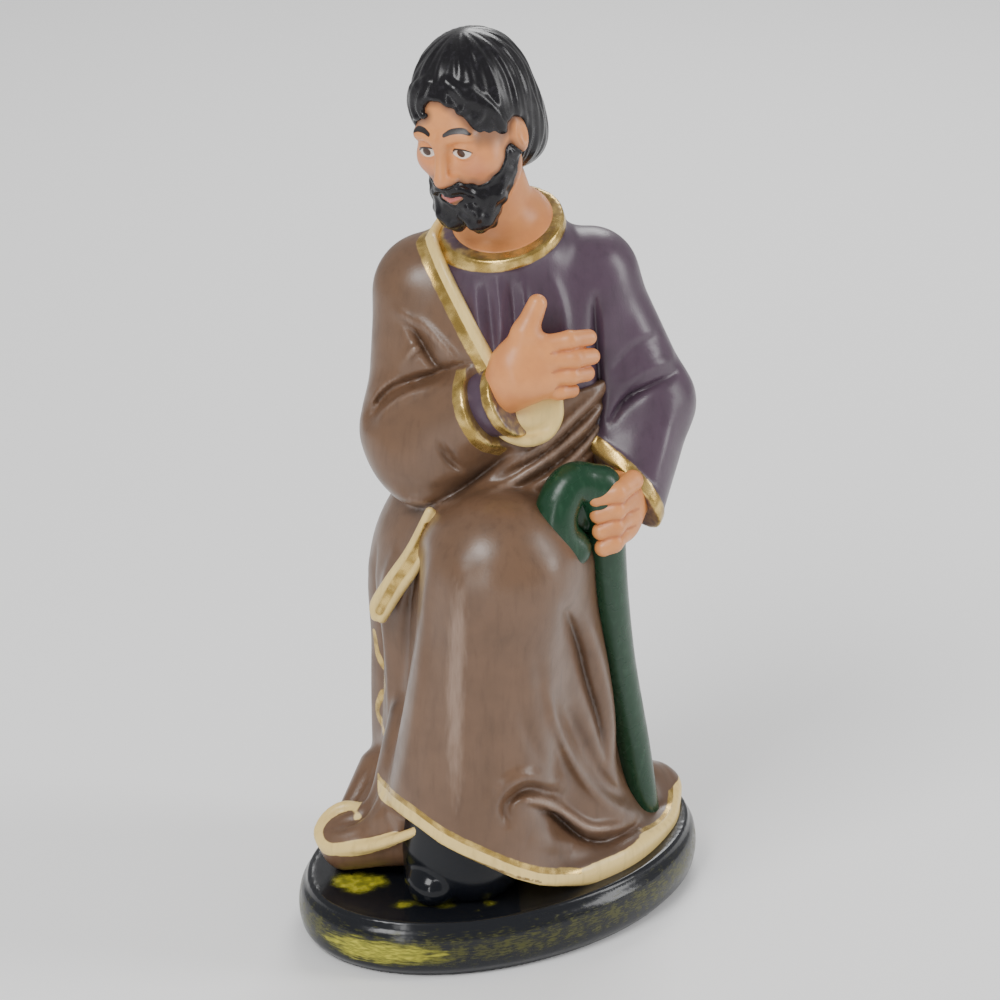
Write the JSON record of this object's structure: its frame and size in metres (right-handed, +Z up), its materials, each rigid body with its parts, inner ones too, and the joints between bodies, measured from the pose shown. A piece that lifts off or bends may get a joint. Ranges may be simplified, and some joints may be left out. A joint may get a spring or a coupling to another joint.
{
  "type": "saint joseph statue",
  "caption": "Kneeling, bearded saint with a crook staff, cast in plaster on an oval plinth and painted, a hand on the chest.",
  "frame": {"origin": "middle of the plinth's flat underside", "axes": "+Z up the standing figure, -Y the way the chest faces, +X the figure's left, where the staff is"},
  "size_m": [0.131, 0.1228, 0.2959],
  "materials": {
    "painted_plaster": "satin"
  },
  "bodies": {
    "root": {"statue": "painted_plaster"}
  },
  "joints": []
}
